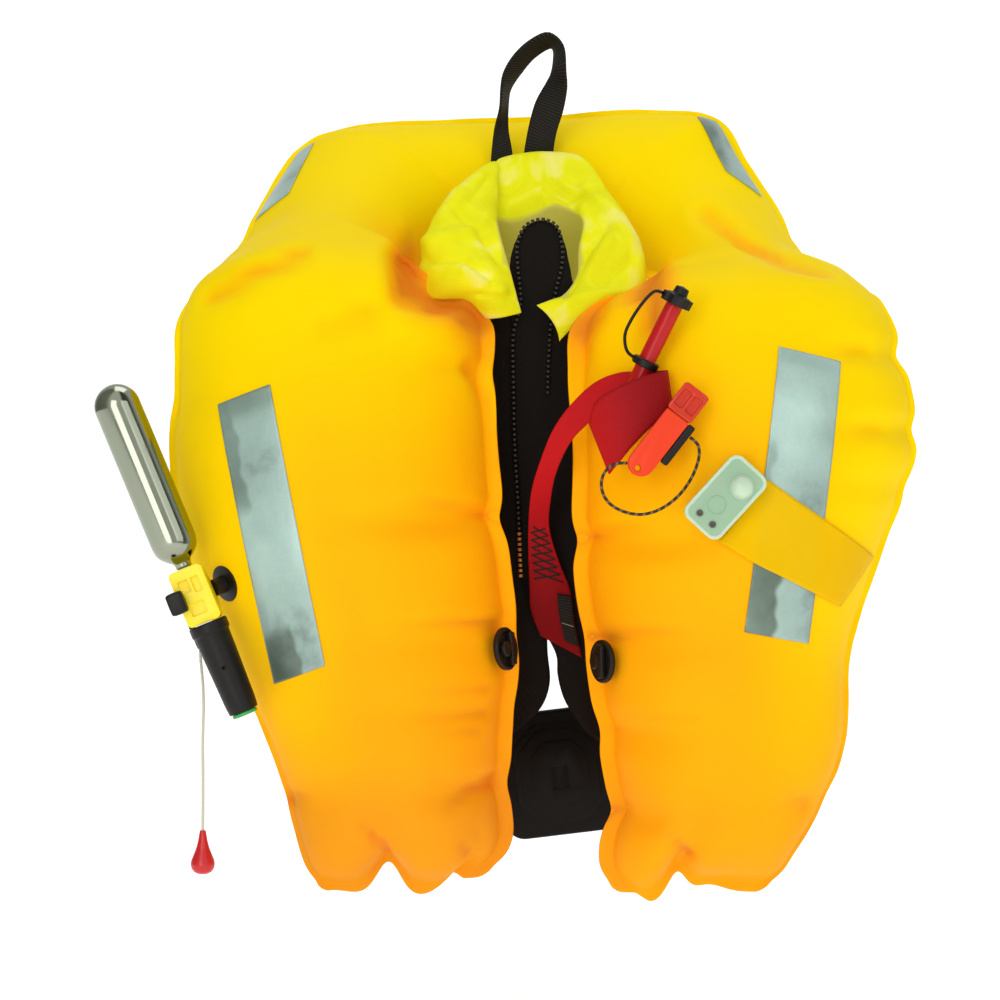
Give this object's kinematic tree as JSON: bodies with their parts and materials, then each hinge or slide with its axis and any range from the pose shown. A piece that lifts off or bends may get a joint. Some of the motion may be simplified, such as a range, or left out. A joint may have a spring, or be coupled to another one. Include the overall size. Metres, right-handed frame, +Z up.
{
  "type": "inflatable harness life jacket",
  "caption": "Inflated horseshoe life jacket with soft collar, harness fronts, lifting loop and strap, inflator with gas cylinder, oral tube, whistle, rescue light and back pad.",
  "frame": {"origin": "middle of the neck hole at the height where the collar sits on the neck", "axes": "+Z up as worn, -Y out of the chest, +X toward the lobe with the oral tube"},
  "size_m": [0.651, 0.4067, 0.7107],
  "materials": {
    "bladder_fabric": "coated, semi-gloss",
    "reflective_tape": "retroreflective film",
    "collar_cloth": "knitted, matt",
    "black_cloth": "woven, matt",
    "black_webbing": "woven",
    "red_webbing": "woven",
    "red_plastic": "smooth",
    "black_plastic": "moulded",
    "orange_plastic": "moulded",
    "clear_red_plastic": "translucent",
    "dark_cord": "braided",
    "light_plastic": "translucent",
    "film": "translucent film",
    "steel": "plated",
    "yellow_plastic": "moulded",
    "green_plastic": "moulded",
    "white_cord": "braided",
    "contact_metal": "plain"
  },
  "bodies": {
    "root": {"bladder": "bladder_fabric", "reflective_tape_front_left": "reflective_tape", "reflective_tape_front_right": "reflective_tape", "reflective_tape_neck_left": "reflective_tape", "reflective_tape_neck_right": "reflective_tape", "collar": "collar_cloth", "cover_left": "black_cloth", "cover_right": "black_cloth", "zip_row": "black_plastic", "lifting_loop": "black_webbing", "lifting_strap": "red_webbing", "strap_end": "black_webbing", "light_strap": "film", "waist_belt_left": "black_webbing", "waist_belt_right": "black_webbing", "oral_tube": "red_plastic", "whistle_cord": "dark_cord", "inflator_stem": "black_plastic", "pull_cord": "white_cord", "pull_bead": "red_plastic", "oral_cap": "black_plastic", "cap_tether": "black_plastic", "whistle_body": "orange_plastic", "whistle_mouthpiece": "clear_red_plastic", "whistle_clip": "black_plastic", "light_case": "light_plastic", "light_dome": "light_plastic", "light_contacts": "contact_metal", "gas_cylinder": "steel", "inflator_body": "yellow_plastic", "inflator_cap": "black_plastic", "inflator_indicator": "green_plastic", "inflator_knob": "black_plastic", "inflator_lever": "black_plastic", "seam_stud_left": "black_plastic", "seam_stud_right": "black_plastic", "back_pad": "black_plastic"}
  },
  "joints": []
}
